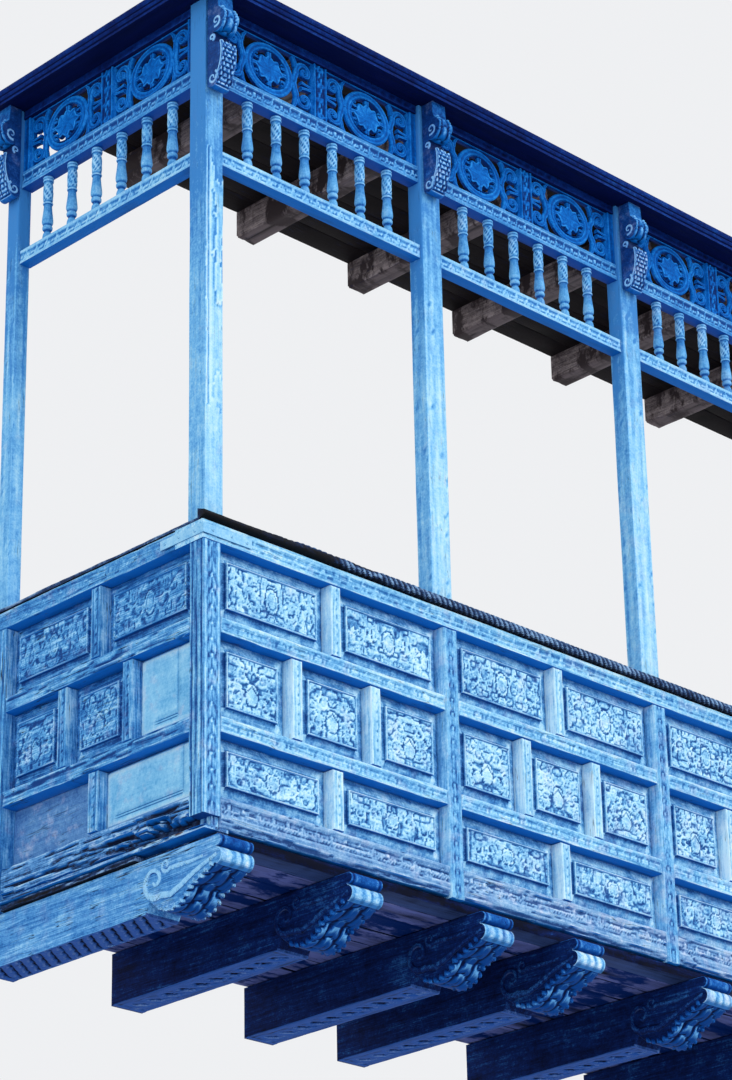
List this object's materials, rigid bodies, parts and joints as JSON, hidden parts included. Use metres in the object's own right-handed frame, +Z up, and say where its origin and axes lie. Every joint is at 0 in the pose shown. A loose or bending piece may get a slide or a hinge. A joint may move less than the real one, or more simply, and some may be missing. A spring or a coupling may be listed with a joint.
{
  "type": "colonial balcony",
  "caption": "Blue colonial timber box balcony: carved panel parapet, posts, turned balusters, pierced screen and scroll-headed beams, cut off at the wall.",
  "frame": {"origin": "wall plane, middle of the left wall stile's back, at the level of the floor's top", "axes": "+X along the front to the right as seen from the street, +Y into the wall, +Z up"},
  "size_m": [4.6072, 1.1969, 3.399],
  "materials": {
    "worn_paint": "matte",
    "light_paint": "matte",
    "screen_paint": "satin",
    "navy_paint": "satin",
    "dark_paint": "matte",
    "beam_paint": "matte",
    "floor_paint": "matte",
    "bare_timber": "matte",
    "painted_iron": "matte"
  },
  "bodies": {
    "root": {"beams": "beam_paint", "ceiling": "bare_timber", "consoles": "screen_paint", "corner_posts": "light_paint", "corner_stiles": "worn_paint", "corner_straps": "painted_iron", "floor": "floor_paint", "fretwork_uprights": "screen_paint", "front_balusters": "worn_paint", "front_bottom_rails": "worn_paint", "front_cornice": "navy_paint", "front_fretwork": "screen_paint", "front_mid_rails": "worn_paint", "front_moulding": "dark_paint", "front_muntins": "worn_paint", "front_panels_1": "worn_paint", "front_panels_2": "worn_paint", "front_panels_3": "worn_paint", "front_panels_4": "worn_paint", "front_posts": "light_paint", "front_sill": "worn_paint", "front_stiles": "worn_paint", "front_top_rail": "worn_paint", "joists": "bare_timber", "left_balusters": "worn_paint", "left_cap_plank": "dark_paint", "left_cornice": "navy_paint", "left_fretwork": "screen_paint", "left_muntins": "worn_paint", "left_panels": "worn_paint", "left_rails": "worn_paint", "left_sill": "worn_paint", "left_top_rail": "worn_paint", "lower_screen_rails": "worn_paint", "right_balusters": "worn_paint", "right_cap_plank": "dark_paint", "right_cornice": "navy_paint", "right_fretwork": "screen_paint", "right_muntins": "worn_paint", "right_panels": "worn_paint", "right_rails": "worn_paint", "right_sill": "worn_paint", "right_top_rail": "worn_paint", "top_screen_rails": "worn_paint", "upper_screen_rails": "worn_paint", "wall_posts": "light_paint", "wall_stiles": "worn_paint"}
  },
  "joints": []
}
